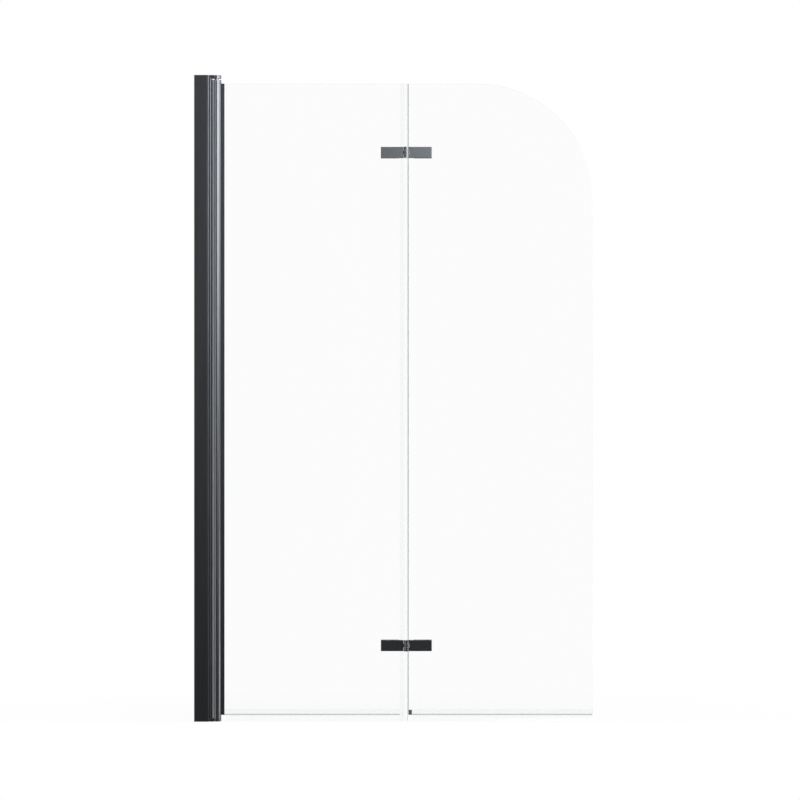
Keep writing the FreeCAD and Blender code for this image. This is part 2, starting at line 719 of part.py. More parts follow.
def glazing_gasket():
    """Soft liner between the slot and the pane."""
    slot, face, end = "Places.slot_half_width", "Places.glass_face", "Places.glass_leg_end"
    outline = [
        ("Places.slot_start", f"-{slot}"),
        (end, f"-{slot}"),
        (end, f"-{face}"),
        ("Places.inner_glass_start", f"-{face}"),
        ("Places.inner_glass_start", face),
        (end, face),
        (end, slot),
        ("Places.slot_start", slot),
    ]
    span = ("Places.profile_bottom", "Places.glass_top")
    piece(profile("gasket_strip", "XY_Plane", [outline], span), "glazing_gasket")


def pivot_bush(label, flange, shank, whole):
    """Collar on the end of the column, with a shank in its bore and a running hole for the pin."""
    axis = ("Sizes.pivot_axis_reach", "0")
    collar = rod(f"{label}_collar", "Sizes.column_radius", "Z", flange, axis)
    plug = rod(f"{label}_plug", "Places.bush_shank_radius", "Z", shank, axis)
    hole = rod(f"{label}_hole", "Places.bush_bore", "Z", past(whole), axis)
    piece(cut(f"{label}_cut", fuse(f"{label}_blank", [collar, plug]), [hole]), label)


# Panes

HINGES = {"upper": "Places.upper_hinge_height", "lower": "Places.lower_hinge_height"}
SIDES = {"inner": "-", "outer": "+"}
SCREW_REACHES = ("Sizes.hinge_screw_first", "(Sizes.hinge_screw_first + Sizes.hinge_screw_spacing)")


def screw_spots(side, *hinges):
    """X and Z of the clamping screws of some hinges in one pane."""
    return [
        (f"Sizes.fold_axis_reach {SIDES[side]} {reach}", HINGES[hinge])
        for hinge in hinges
        for reach in SCREW_REACHES
    ]


def pane(label, side, outline):
    """Flat pane with holes for the hinges and bevelled edges."""
    holes = [(x, z, "Places.glass_hole_radius") for x, z in screw_spots(side, *HINGES)]
    thickness = ("0", "Sizes.glass_thickness")
    body = profile(f"{label}_pane", "XZ_Plane", [outline], thickness, holes, symmetric=True)
    doc.recompute()
    pad = body.Tip
    hole_length = 2 * math.pi * number("Places.glass_hole_radius")
    level = number("Places.glass_face")
    chosen = [
        f"Edge{i}"
        for i, edge in enumerate(pad.Shape.Edges, start=1)
        if edge.BoundBox.YLength < level
        and not math.isclose(edge.Length, hole_length, rel_tol=1e-6)
    ]
    bevel = body.newObject("PartDesign::Chamfer", f"{label}_bevel")
    bevel.Base = (pad, chosen)
    bevel.setExpression("Size", "Sizes.glass_bevel")
    piece(body, label)


def inner_glass():
    """Rectangular pane between the glass profile and the fold."""
    x = ("Places.inner_glass_start", "Places.inner_glass_end")
    pane("inner_glass", "inner", rectangle(x, ("Places.glass_bottom", "Places.glass_top")))


def outer_glass():
    """Pane past the fold, with its free upper corner rounded."""
    bottom, top, radius = "Places.glass_bottom", "Places.glass_top", "Sizes.corner_radius"
    outline = [
        ("Places.outer_glass_start", bottom),
        ("Sizes.screen_width", bottom),
        ("Sizes.screen_width", f"{top} - {radius}", radius, "left"),
        (f"Sizes.screen_width - {radius}", top),
        ("Places.outer_glass_start", top),
    ]
    pane("outer_glass", "outer", outline)


# Fold hinges

def beside_fold(side, near, far):
    """Span along X between two distances from the fold axis, on one side of it."""
    if side == "inner":
        return (f"Sizes.fold_axis_reach - {far}", f"Sizes.fold_axis_reach - {near}")
    return (f"Sizes.fold_axis_reach + {near}", f"Sizes.fold_axis_reach + {far}")


def knuckle_spans(side, height):
    """Heights of a leaf's knuckles: the middle third, or the two outer thirds."""
    if side == "inner":
        return [about(height, "Places.knuckle_height / 2")]
    low = (f"{height} - Places.knuckle_end", f"{height} - Places.knuckle_end + Places.knuckle_height")
    high = (f"{height} + Places.knuckle_end - Places.knuckle_height", f"{height} + Places.knuckle_end")
    return [low, high]


def hinge_leaf(hinge, side):
    """Front plate of a hinge with its knuckles, tapped from behind for the clamping screws."""
    label = f"{hinge}_hinge_{side}_leaf"
    height = HINGES[hinge]
    axis = ("Sizes.fold_axis_reach", "-Places.fold_axis_offset")
    plate_x = beside_fold(side, "Places.plate_start", "Sizes.hinge_leaf_length")
    plate_y = mirrored(("Places.pad_face", "Places.plate_face"))
    plate = box(f"{label}_plate", plate_x, plate_y, about(height, "Places.knuckle_end"))
    front, back = (number(y) for y in plate_y)
    free_end, root = (number(x) for x in (plate_x if side == "inner" else plate_x[::-1]))

    def shows(edge):
        """An edge of the front face or of the free end, but none against the glass or the knuckles."""
        outside = lies_at(edge, "Y", front) or lies_at(edge, "X", free_end)
        return outside and not lies_at(edge, "Y", back) and not lies_at(edge, "X", root)

    solids = [rounded(f"{label}_rounded", plate, "Sizes.hinge_plate_round", shows)]
    neck_x = beside_fold(side, "0", "Places.plate_start")
    neck_y = (plate_y[0], "-Places.pad_face - Sizes.neck_relief")
    for i, span in enumerate(knuckle_spans(side, height)):
        solids.append(box(f"{label}_neck_{i}", neck_x, neck_y, span))
        solids.append(rod(f"{label}_knuckle_{i}", "Sizes.knuckle_radius", "Z", span, axis))
    whole = about(height, "Places.knuckle_end")
    bore = "Sizes.hinge_pin_radius + Sizes.press_clearance"
    if side == "outer":
        bore = "Places.hinge_bush_radius + Sizes.press_clearance"
    tools = [rod(f"{label}_bore", bore, "Z", past(whole), axis)]
    grip = "(Sizes.hinge_screw_grip + Sizes.hinge_screw_tip_gap)"
    depth = past((f"-Places.pad_face - {grip}", "-Places.pad_face"), start=False)
    tapped = "Sizes.hinge_screw_radius + Sizes.press_clearance"
    for i, spot in enumerate(screw_spots(side, hinge)):
        tools.append(rod(f"{label}_tapped_{i}", tapped, "Y", depth, spot))
    piece(cut(f"{label}_cut", fuse(f"{label}_blank", solids), tools), label)


def back_plate(hinge, side):
    """Plate behind the glass, countersunk for the clamping screws."""
    label = f"{hinge}_hinge_{side}_back_plate"
    x = beside_fold(side, "Sizes.back_plate_start", "Sizes.hinge_leaf_length")
    y = ("Places.pad_face", "Places.back_plate_face")
    plate = box(f"{label}_plate", x, y, about(HINGES[hinge], "Places.knuckle_end"))
    glass_side = number(y[0])
    outside = lambda edge: not lies_at(edge, "Y", glass_side)
    smooth = rounded(f"{label}_rounded", plate, "Sizes.hinge_plate_round", outside)
    shank = "(Sizes.hinge_screw_radius + Sizes.running_clearance)"
    head = "(Sizes.hinge_screw_head_radius + Sizes.running_clearance)"
    head_root = f"{y[1]} - Sizes.hinge_screw_head_height"
    tools = []
    for i, spot in enumerate(screw_spots(side, hinge)):
        tools.append(rod(f"{label}_hole_{i}", shank, "Y", past(y), spot))
        tools.append(cone(f"{label}_sink_{i}", shank, head, "Y", (head_root, y[1]), spot))
    piece(cut(f"{label}_cut", smooth, tools), label)


def hinge_pads(side):
    """Soft pads between a pane and its hinge plates."""
    layer = ("Places.glass_face", "Places.pad_face")
    faces = {
        "front": ("Places.plate_start", mirrored(layer)),
        "back": ("Sizes.back_plate_start", layer),
    }
    pads = []
    for hinge in HINGES:
        for face, (near, y) in faces.items():
            name = f"{hinge}_{side}_{face}_pad"
            x = beside_fold(side, near, "Sizes.hinge_leaf_length")
            sheet = box(f"{name}_sheet", x, y, about(HINGES[hinge], "Places.knuckle_end"))
            holes = [
                rod(f"{name}_hole_{i}", "Places.sleeve_bore", "Y", past(y), spot)
                for i, spot in enumerate(screw_spots(side, hinge))
            ]
            pads.append(cut(name, sheet, holes))
    piece(group(f"{side}_pads", pads), f"{side}_hinge_pads")


def hinge_sleeves(side):
    """Sleeves that keep the clamping screws off the glass."""
    span = both("Places.glass_face")
    sleeves = []
    for i, spot in enumerate(screw_spots(side, *HINGES)):
        name = f"{side}_sleeve_{i}"
        tube = rod(f"{name}_tube", "Places.sleeve_radius", "Y", span, spot)
        sleeves.append(cut(name, tube, [rod(f"{name}_bore", "Places.sleeve_bore", "Y", past(span), spot)]))
    piece(group(f"{side}_sleeves", sleeves), f"{side}_hinge_sleeves")


def hinge_screws(side):
    """Countersunk clamping screws, put in from behind."""
    top = "Places.back_plate_face"
    head_root = f"{top} - Sizes.hinge_screw_head_height"
    tip = "-Places.pad_face - Sizes.hinge_screw_grip"
    floor = f"{top} - Sizes.hinge_screw_drive_depth"
    shank, head = "Sizes.hinge_screw_radius", "Sizes.hinge_screw_head_radius"
    screws = []
    for i, spot in enumerate(screw_spots(side, *HINGES)):
        name = f"{side}_screw_{i}"
        stem = rod(f"{name}_stem", shank, "Y", (tip, head_root), spot)
        cap = cone(f"{name}_head", shank, head, "Y", (head_root, top), spot)
        socket_span = past((floor, top), start=False)
        socket = hexagon(f"{name}_socket", "Sizes.hinge_screw_drive_radius", "Y", socket_span, spot)
        screws.append(cut(name, fuse(f"{name}_blank", [stem, cap]), [socket]))
    piece(group(f"{side}_screws", screws), f"{side}_hinge_screws")


def hinge_pin(hinge):
    """Pin held in the inner leaf's knuckle."""
    axis = ("Sizes.fold_axis_reach", "-Places.fold_axis_offset")
    span = about(HINGES[hinge], "(Places.knuckle_end - Sizes.hinge_pin_recess)")
    name = f"{hinge}_hinge_pin"
    piece(rod(f"{name}_rod", "Sizes.hinge_pin_radius", "Z", span, axis), name)


def hinge_bushes(hinge):
    """Flanged bushes in the outer leaf's two knuckles."""
    axis = ("Sizes.fold_axis_reach", "-Places.fold_axis_offset")
    height = HINGES[hinge]
    low, high = knuckle_spans("outer", height)
    flange = "Sizes.hinge_bush_flange"
    layouts = {
        "low": (low, (low[1], f"{low[1]} + {flange}"), (low[0], f"{low[1]} + {flange}")),
        "high": (high, (f"{high[0]} - {flange}", high[0]), (f"{high[0]} - {flange}", high[1])),
    }
    bushes = []
    for where, (tube_span, flange_span, whole) in layouts.items():
        name = f"{hinge}_{where}_bush"
        tube = rod(f"{name}_tube", "Places.hinge_bush_radius", "Z", tube_span, axis)
        disc = rod(f"{name}_disc", "Sizes.hinge_bush_flange_radius", "Z", flange_span, axis)
        bore = rod(f"{name}_bore", "Places.hinge_bush_bore", "Z", past(whole), axis)
        bushes.append(cut(name, fuse(f"{name}_blank", [tube, disc]), [bore]))
    piece(group(f"{hinge}_bush_pair", bushes), f"{hinge}_hinge_bushes")


# Clear seals

def fold_seal():
    """Clip on the inner pane's edge with a long hollow bulb, trimmed for the hinges and the corner stop."""
    start, root, edge = "Places.seal_clip_start", "Places.bulb_root", "Places.inner_glass_end"
    out, face, bulb = "Places.seal_face", "Places.glass_face", "Sizes.fold_bulb_radius"
    centre = "Places.bulb_centre"
    outline = [
        (start, f"-{out}"),
        (root, f"-{out}"),
        (root, f"-{bulb}"),
        (centre, f"-{bulb}", bulb, "left"),
        (f"{centre} + {bulb}", "0", bulb, "left"),
        (centre, bulb),
        (root, bulb),
        (root, out),
        (start, out),
        (start, face),
        (edge, face),
        (edge, f"-{face}"),
        (start, f"-{face}"),
    ]
    near, inside = "Places.bulb_inside_start", "Places.bulb_inside"
    hollow = [
        (near, f"-{inside}"),
        (centre, f"-{inside}", inside, "left"),
        (f"{centre} + {inside}", "0", inside, "left"),
        (centre, inside),
        (near, inside, inside, "left"),
        (root, "0", inside, "left"),
    ]
    span = ("Sizes.seal_rim_gap", "Places.glass_top")
    strip = profile("fold_strip", "XY_Plane", [outline, hollow], span)
    notches = []
    for hinge, height in HINGES.items():
        half = "(Places.knuckle_end + Sizes.seal_notch_gap)"
        notch_x = past((start, edge), end=False)
        notch_y = past(mirrored((face, out)), end=False)
        notches.append(box(f"{hinge}_seal_notch", notch_x, notch_y, about(height, half)))
    foot_x = past(("Places.stop_start - Sizes.seal_notch_gap", f"{centre} + {bulb}"), start=False)
    foot_z = past(("Sizes.seal_rim_gap", "Places.stop_top + Sizes.seal_notch_gap"), end=False)
    notches.append(box("seal_foot_notch", foot_x, both(bulb), foot_z))
    piece(cut("fold_seal_cut", strip, notches), "fold_seal")


def bottom_seal(label, span):
    """Clip along a pane's lower edge with two lips down to the rim of the bath."""
    out, face, lip = "Places.seal_face", "Places.glass_face", "Sizes.bottom_lip_thickness"
    tip, web, top = "Sizes.bottom_lip_gap", "Places.web_bottom", "Places.clip_top"
    spread = "Places.lip_out"
    outline = [
        (f"-{out}", top),
        (f"-{out}", web),
        (f"-{spread}", tip),
        (f"-{spread} + {lip}", tip),
        (f"-{out} + {lip}", web),
        (f"{out} - {lip}", web),
        (f"{spread} - {lip}", tip),
        (spread, tip),
        (out, web),
        (out, top),
        (face, top),
        (face, "Places.glass_bottom"),
        (f"-{face}", "Places.glass_bottom"),
        (f"-{face}", top),
    ]
    piece(profile(f"{label}_strip", "YZ_Plane", [outline], span), label)


def corner_stop():
    """Clip over the outer pane's lower corner beside the fold."""
    low = "Places.glass_bottom - Sizes.stop_drop"
    high = "Places.stop_top"
    block = box("stop_block", ("Places.stop_start", "Places.stop_end"), both("Places.stop_face"), (low, high))
    gap = "Sizes.stop_clearance"
    slot_x = past((f"Places.outer_glass_start - {gap}", "Places.stop_end"), start=False)
    slot_z = past((f"Places.glass_bottom - {gap}", high), start=False)
    slot = box("stop_slot", slot_x, both(f"(Places.glass_face + {gap})"), slot_z)
    piece(cut("corner_stop_cut", block, [slot]), "corner_stop")


# Assembly, from the wall outwards

wall_profile()
channel_cap("bottom_channel_cap", ("0", "Sizes.channel_cap_height"))
channel_cap("top_channel_cap", ("Sizes.screen_height - Sizes.channel_cap_height", "Sizes.screen_height"))

pivot_profile()
pivot_cap("top_pivot_cap", "Places.frame_top", "Sizes.screen_height", 1)
pivot_cap("bottom_pivot_cap", "Places.frame_bottom", "0", -1)
cap_screws = [cap_screw(f"top_cap_screw_{i}", "Sizes.screen_height", 1, s) for i, s in enumerate(("-", ""))]
cap_screws += [cap_screw(f"bottom_cap_screw_{i}", "0", -1, s) for i, s in enumerate(("-", ""))]
piece(group("cap_screw_group", cap_screws), "pivot_cap_screws")
top_tip = "Places.glass_top - Sizes.pivot_pin_reach"
pivot_pin("top_pivot_pin", (top_tip, "Places.frame_top + Sizes.pivot_pin_seat"))
bottom_tip = "Places.profile_bottom + Sizes.pivot_pin_reach"
pivot_pin("bottom_pivot_pin", ("Places.frame_bottom - Sizes.pivot_pin_seat", bottom_tip))
pivot_seals()
for maker, label in (
    (adjusting_screw, "adjusting_screws"),
    (adjusting_washer, "adjusting_washers"),
    (adjusting_cover, "adjusting_covers"),
):
    parts = [maker(f"{label}_{i}", height) for i, height in enumerate(ADJUSTING_HEIGHTS)]
    piece(group(f"{label}_group", parts), label)

glass_profile()
glazing_gasket()
top, shank_end = "Places.glass_top", "Places.glass_top - Sizes.bush_shank_length"
flange_end = "Places.top_bush_top"
pivot_bush("top_pivot_bush", (top, flange_end), (shank_end, top), (shank_end, flange_end))
foot, shank_end = "Places.profile_bottom", "Places.profile_bottom + Sizes.bush_shank_length"
flange_end = "Places.profile_bottom - Sizes.bottom_bush_flange"
pivot_bush("bottom_pivot_bush", (flange_end, foot), (foot, shank_end), (flange_end, shank_end))
inner_glass()
outer_glass()

for hinge in HINGES:
    for side in SIDES:
        hinge_leaf(hinge, side)
        back_plate(hinge, side)
    hinge_pin(hinge)
    hinge_bushes(hinge)
for side in SIDES:
    hinge_pads(side)
    hinge_sleeves(side)
    hinge_screws(side)

fold_seal()
inner_seal_start = "Places.glass_leg_end + Sizes.seal_end_gap"
bottom_seal("inner_bottom_seal", (inner_seal_start, "Places.seal_clip_start - Sizes.seal_end_gap"))
outer_seal_end = "Sizes.screen_width - Sizes.bottom_seal_end_inset"
bottom_seal("outer_bottom_seal", ("Places.stop_end + Sizes.seal_end_gap", outer_seal_end))
corner_stop()

doc.recompute()
broken = [item.Label for item in doc.Objects if {"Invalid", "Error"} & set(item.State)]
broken += [item.Label for item in pieces if item.Shape.isNull() or not item.Shape.isValid()]
if broken:
    raise RuntimeError(f"not built: {broken}")

os.makedirs("parts", exist_ok=True)
for item in pieces:
    item.Shape.exportStep(f"parts/{item.Label}.step")
    print(item.Label, len(item.Shape.Solids), round(item.Shape.Volume, 1))
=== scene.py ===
import json
import math

import bmesh
import bpy
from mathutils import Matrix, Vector


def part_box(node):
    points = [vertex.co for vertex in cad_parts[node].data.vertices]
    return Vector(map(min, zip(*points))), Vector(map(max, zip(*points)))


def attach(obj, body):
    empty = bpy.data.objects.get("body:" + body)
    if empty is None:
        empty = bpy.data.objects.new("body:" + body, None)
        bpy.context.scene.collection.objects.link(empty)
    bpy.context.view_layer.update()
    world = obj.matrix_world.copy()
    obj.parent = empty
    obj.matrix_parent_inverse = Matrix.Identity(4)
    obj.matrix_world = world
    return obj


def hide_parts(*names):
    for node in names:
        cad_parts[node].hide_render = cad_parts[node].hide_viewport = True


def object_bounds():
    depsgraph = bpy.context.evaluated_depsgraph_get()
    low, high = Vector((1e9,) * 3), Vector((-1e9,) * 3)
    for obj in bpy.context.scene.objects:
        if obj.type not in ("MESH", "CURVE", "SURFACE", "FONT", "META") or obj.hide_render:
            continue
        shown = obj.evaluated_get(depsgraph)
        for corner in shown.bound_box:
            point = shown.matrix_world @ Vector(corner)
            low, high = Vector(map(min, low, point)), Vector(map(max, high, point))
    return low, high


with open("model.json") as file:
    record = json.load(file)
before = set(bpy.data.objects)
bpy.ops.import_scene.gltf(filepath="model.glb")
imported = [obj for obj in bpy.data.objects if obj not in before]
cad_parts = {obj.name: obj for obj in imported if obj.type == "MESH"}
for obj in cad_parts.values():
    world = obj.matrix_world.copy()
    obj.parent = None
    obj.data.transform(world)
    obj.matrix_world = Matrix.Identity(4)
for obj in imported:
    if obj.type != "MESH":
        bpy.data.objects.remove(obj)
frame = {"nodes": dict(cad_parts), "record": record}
cad_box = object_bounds()
nodes = frame["nodes"]
record = frame["record"]
scene = bpy.context.scene

SLOT_OF = {part["node"]: part["material_slot"] for part in record["subparts"]}
BODY_OF = {node: body for body, held in record["behaviour"]["bodies"].items() for node in held}
MM = 0.001


def span(node, axis):
    """Where a CAD node starts and ends along an axis, in millimetres."""
    return [round(corner["XYZ".index(axis)] / MM, 4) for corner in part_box(node)]


# Node helpers


def add(material, kind, inputs=None, **settings):
    """Add a node. An input is a value, or the output that it is linked from."""
    item = material.node_tree.nodes.new(kind)
    for key, value in settings.items():
        setattr(item, key, value)
    for key, value in (inputs or {}).items():
        if isinstance(value, bpy.types.NodeSocket):
            material.node_tree.links.new(value, item.inputs[key])
        else:
            item.inputs[key].default_value = value
    return item


def new_look(name, **plain):
    """Material with one shader, whose plain values are set on its own sockets."""
    material = bpy.data.materials.new(name)
    material.use_nodes = True
    shader = material.node_tree.nodes["Principled BSDF"]
    for socket, value in plain.items():
        shader.inputs[socket.replace("_", " ")].default_value = value
    return material, shader


def drive(material, shader, socket, output):
    """Link an output to one of the shader's sockets."""
    material.node_tree.links.new(output, shader.inputs[socket])


def own_place(material):
    """Coordinates that stay with the piece, in metres."""
    return add(material, "ShaderNodeTexCoord").outputs["Object"]


def own_normal(material):
    """The surface's direction in the piece's own frame."""
    return add(material, "ShaderNodeTexCoord").outputs["Normal"]


def noise(material, scales, detail=3.0, roughness=0.55):
    """Noise with its own number of grains to the metre along each axis."""
    mapped = add(material, "ShaderNodeMapping", {"Vector": own_place(material), "Scale": scales})
    texture = add(
        material,
        "ShaderNodeTexNoise",
        {"Vector": mapped.outputs["Vector"], "Scale": 1.0, "Detail": detail, "Roughness": roughness},
    )
    return texture.outputs[0]


def spread(material, output, low, high, start=0.3, end=0.7):
    """Map an output's usual span to another one."""
    item = add(
        material,
        "ShaderNodeMapRange",
        {"Value": output, "From Min": start, "From Max": end, "To Min": low, "To Max": high},
    )
    return item.outputs["Result"]


def eased(material, output, start, end, low=0.0, high=1.0):
    """Map an output to another span with a soft start and end."""
    item = add(
        material,
        "ShaderNodeMapRange",
        {"Value": output, "From Min": start, "From Max": end, "To Min": low, "To Max": high},
        interpolation_type="SMOOTHSTEP",
    )
    return item.outputs["Result"]


def blended(material, factor, first, second):
    """Colour between two colours."""
    item = add(material, "ShaderNodeMix", data_type="RGBA")
    material.node_tree.links.new(factor, item.inputs[0])
    item.inputs[6].default_value = (*first, 1.0)
    item.inputs[7].default_value = (*second, 1.0)
    return item.outputs[2]


def maths(material, operation, *values):
    """Result of a sum, product or other operation."""
    return add(material, "ShaderNodeMath", dict(enumerate(values)), operation=operation).outputs[0]


def bump(material, shader, height, depth, strength=1.0):
    """Relief of a depth in metres."""
    item = add(material, "ShaderNodeBump", {"Height": height, "Distance": depth, "Strength": strength})
    drive(material, shader, "Normal", item.outputs["Normal"])


# Materials


def extruded_black(name, sheen, low, high):
    """Satin black anodised extrusion: fine draw lines up its length over a very fine grain."""
    look, shader = new_look(name, IOR=1.7, Specular_IOR_Level=sheen)
    lines = noise(look, (1400.0, 1400.0, 5.0), 4.0)
    grain = noise(look, (5200.0, 5200.0, 5200.0), 2.0)
    cloud = noise(look, (9.0, 9.0, 3.0), 2.0)
    base = blended(look, cloud, (0.0024, 0.0025, 0.0027), (0.0042, 0.0043, 0.0047))
    drive(look, shader, "Base Color", base)
    mixed = maths(look, "MULTIPLY_ADD", grain, 0.35, lines)
    drive(look, shader, "Roughness", spread(look, mixed, low, high, 0.45, 0.9))
    bump(look, shader, mixed, 0.00001, 0.5)
    return look


def coated_black(name, scale, depth, low, high):
    """Black coating on metal with a fine orange peel."""
    look, shader = new_look(name, IOR=1.7, Specular_IOR_Level=1.0)
    peel = noise(look, (scale,) * 3, 3.0)
    cloud = noise(look, (40.0, 40.0, 40.0), 2.0)
    base = blended(look, cloud, (0.0025, 0.0026, 0.0028), (0.0044, 0.0045, 0.0048))
    drive(look, shader, "Base Color", base)
    drive(look, shader, "Roughness", spread(look, peel, low, high))
    bump(look, shader, peel, depth, 0.5)
    return look


def moulded(name, first, second):
    """Matt moulded plastic with a fine eroded grain."""
    look, shader = new_look(name, Specular_IOR_Level=0.5)
    grain = noise(look, (2600.0, 2600.0, 2600.0), 4.0, 0.7)
    cloud = noise(look, (60.0, 60.0, 60.0), 2.0)
    drive(look, shader, "Base Color", blended(look, cloud, first, second))
    drive(look, shader, "Roughness", spread(look, grain, 0.45, 0.6))
    bump(look, shader, grain, 0.00002, 0.6)
    return look


def soft_rubber(name, first, second, low, high):
    """Soft extrusion or pad with a slightly dusty, drawn surface."""
    look, shader = new_look(name, Specular_IOR_Level=0.4)
    lines = noise(look, (1800.0, 1800.0, 30.0), 3.0)
    cloud = noise(look, (150.0, 150.0, 20.0), 3.0)
    drive(look, shader, "Base Color", blended(look, cloud, first, second))
    drive(look, shader, "Roughness", spread(look, lines, low, high))
    bump(look, shader, lines, 0.000015, 0.5)
    return look


# Where the pivot strip's rib painted lighter gives way to its rib painted darker, in metres from the wall
RIB_PAINTED_LIGHT_SPLIT = (0.0425, 0.0435)


def pivot_strip():
    """Strip beside the column with draw lines: painted light on its rib nearer the wall, painted shade on
    its other rib.
    """
    look, shader = new_look("grey_seal_look", Specular_IOR_Level=0.4)
    lines = noise(look, (1800.0, 1800.0, 30.0), 3.0)
    cloud = noise(look, (150.0, 150.0, 20.0), 3.0)
    # Painted light and shade: the rib nearer the wall gets a lighter grey and the other rib a darker one,
    # for how light falls on them
    painted_lit_rib = blended(look, cloud, (0.25, 0.25, 0.258), (0.31, 0.31, 0.322))
    painted_shaded_rib = blended(look, cloud, (0.125, 0.125, 0.131), (0.165, 0.165, 0.172))
    across = add(look, "ShaderNodeSeparateXYZ", {"Vector": own_place(look)}).outputs["X"]
    share = spread(look, across, 0.0, 1.0, *RIB_PAINTED_LIGHT_SPLIT)
    mix = add(look, "ShaderNodeMix", {0: share, 6: painted_lit_rib, 7: painted_shaded_rib}, data_type="RGBA")
    drive(look, shader, "Base Color", mix.outputs[2])
    drive(look, shader, "Roughness", spread(look, lines, 0.42, 0.55))
    bump(look, shader, lines, 0.000015, 0.5)
    return look


def ground_steel():
    """Burnished dark steel pin with fine rings round it."""
    look, shader = new_look("steel_look", Metallic=1.0)
    rings = noise(look, (120.0, 120.0, 6000.0), 3.0)
    cloud = noise(look, (200.0, 200.0, 200.0), 2.0)
    drive(look, shader, "Base Color", blended(look, cloud, (0.18, 0.18, 0.185), (0.23, 0.23, 0.235)))
    drive(look, shader, "Roughness", spread(look, rings, 0.22, 0.36))
    bump(look, shader, rings, 0.000008, 0.5)
    return look


def natural_nylon():
    """Off-white nylon with a faint mottle."""
    look, shader = new_look("nylon_look", Specular_IOR_Level=0.45, Subsurface_Weight=0.15)
    shader.inputs["Subsurface Radius"].default_value = (0.0015, 0.0013, 0.0010)
    mottle = noise(look, (350.0, 350.0, 350.0), 3.0)
    drive(look, shader, "Base Color", blended(look, mottle, (0.68, 0.68, 0.64), (0.78, 0.78, 0.75)))
    drive(look, shader, "Roughness", spread(look, mottle, 0.38, 0.5))
    bump(look, shader, mottle, 0.00002, 0.4)
    return look


def clear_glass():
    """Toughened glass: faces with a very faint roller wave, ground edges that look a little greener."""
    look, shader = new_look("clear_glass_look", Transmission_Weight=1.0, IOR=1.42, Specular_IOR_Level=0.5)
    facing = add(look, "ShaderNodeSeparateXYZ", {"Vector": own_normal(look)}).outputs["Y"]
    flat = maths(look, "ABSOLUTE", facing)
    edge = spread(look, flat, 1.0, 0.0, 0.90, 0.99)
    drive(look, shader, "Base Color", blended(look, edge, (0.998, 1.0, 0.999), (0.955, 0.975, 0.966)))
    grind = noise(look, (700.0, 2500.0, 700.0), 3.0)
    drive(look, shader, "Roughness", maths(look, "MULTIPLY", edge, spread(look, grind, 0.04, 0.14)))
    wave = noise(look, (3.0, 3.0, 11.0), 1.0, 0.3)
    bump(look, shader, wave, 0.00004, 0.3)
    return look


def clear_plastic(name, along, first, second):
    """Clear flexible extrusion, faintly milky and blue, with draw lines along its length."""
    look, shader = new_look(name, Transmission_Weight=1.0, IOR=1.34, Specular_IOR_Level=0.5)
    scales = [1500.0 if axis != along else 8.0 for axis in "XYZ"]
    lines = noise(look, scales, 3.0)
    cloud = noise(look, (30.0, 30.0, 30.0), 2.0)
    drive(look, shader, "Base Color", blended(look, cloud, first, second))
    drive(look, shader, "Roughness", spread(look, lines, 0.03, 0.09))
    bump(look, shader, lines, 0.00001, 0.3)
    return look


# Clear plastic: the thin soft lips and bulb, the harder clip, and a rim or web that is seen along its depth
SOFT_TINTS = ((0.990, 0.992, 0.995), (0.996, 0.997, 0.998))
CLIP_TINTS = ((0.966, 0.971, 0.979), (0.976, 0.980, 0.986))
RIM_TINTS = ((0.85, 0.855, 0.865), (0.88, 0.885, 0.895))
WEB_TINTS = ((0.63, 0.635, 0.645), (0.67, 0.675, 0.685))

LOOKS = {
    "black_aluminium": extruded_black("black_aluminium_look", 1.0, 0.27, 0.345),
    "sliding_aluminium": extruded_black("sliding_aluminium_look", 0.66, 0.34, 0.42),
    "black_hinge_metal": coated_black("black_hinge_metal_look", 1500.0, 0.00002, 0.27, 0.345),
    "black_screw": coated_black("black_screw_look", 3000.0, 0.00001, 0.34, 0.46),
    "black_plastic": moulded("black_plastic_look", (0.009, 0.009, 0.010), (0.014, 0.014, 0.015)),
    "grey_plastic": moulded("grey_plastic_look", (0.075, 0.075, 0.075), (0.10, 0.10, 0.10)),
    "black_rubber": soft_rubber("black_rubber_look", (0.01, 0.01, 0.011), (0.018, 0.018, 0.019), 0.6, 0.75),
    "grey_seal": pivot_strip(),
    "steel": ground_steel(),
    "nylon": natural_nylon(),
    "clear_glass": clear_glass(),
    "upright_clip": clear_plastic("upright_clip_look", "Z", *CLIP_TINTS),
    "upright_soft": clear_plastic("upright_soft_look", "Z", *SOFT_TINTS),
    "upright_dense": clear_plastic("upright_dense_look", "Z", *RIM_TINTS),
    "level_clip": clear_plastic("level_clip_look", "X", *CLIP_TINTS),
    "level_soft": clear_plastic("level_soft_look", "X", *SOFT_TINTS),
    "level_dense": clear_plastic("level_dense_look", "X", *WEB_TINTS),
}

# Nodes whose material isn't named after their slot: a duller die finish, and the clips of the clear seals
OWN_LOOKS = {
    "pivot_profile": "sliding_aluminium",
    "fold_seal": "upright_clip",
    "inner_bottom_seal": "level_clip",
    "outer_bottom_seal": "level_clip",
}


def look_of(node):
    """The material of a CAD node: its own one, or that of its slot in the record."""
    return LOOKS[OWN_LOOKS.get(node, SLOT_OF[node])]


for name, item in nodes.items():
    item.data.materials.clear()
    item.data.materials.append(look_of(name))

# Pieces that stand for CAD nodes

# Edges up to the first angle are shaded as one surface, and those up to the second lie in one flat face
SMOOTH_ANGLE = math.radians(40.0)
FLAT_ANGLE = math.radians(0.5)

# Points that are nearer than this are one point
SAME_POINT = 0.001 * MM

# A crease is an edge over this angle between two faces that are both over this area, in square metres
CREASE_ANGLE = math.radians(2.0)
WIDE_FACE = 0.004

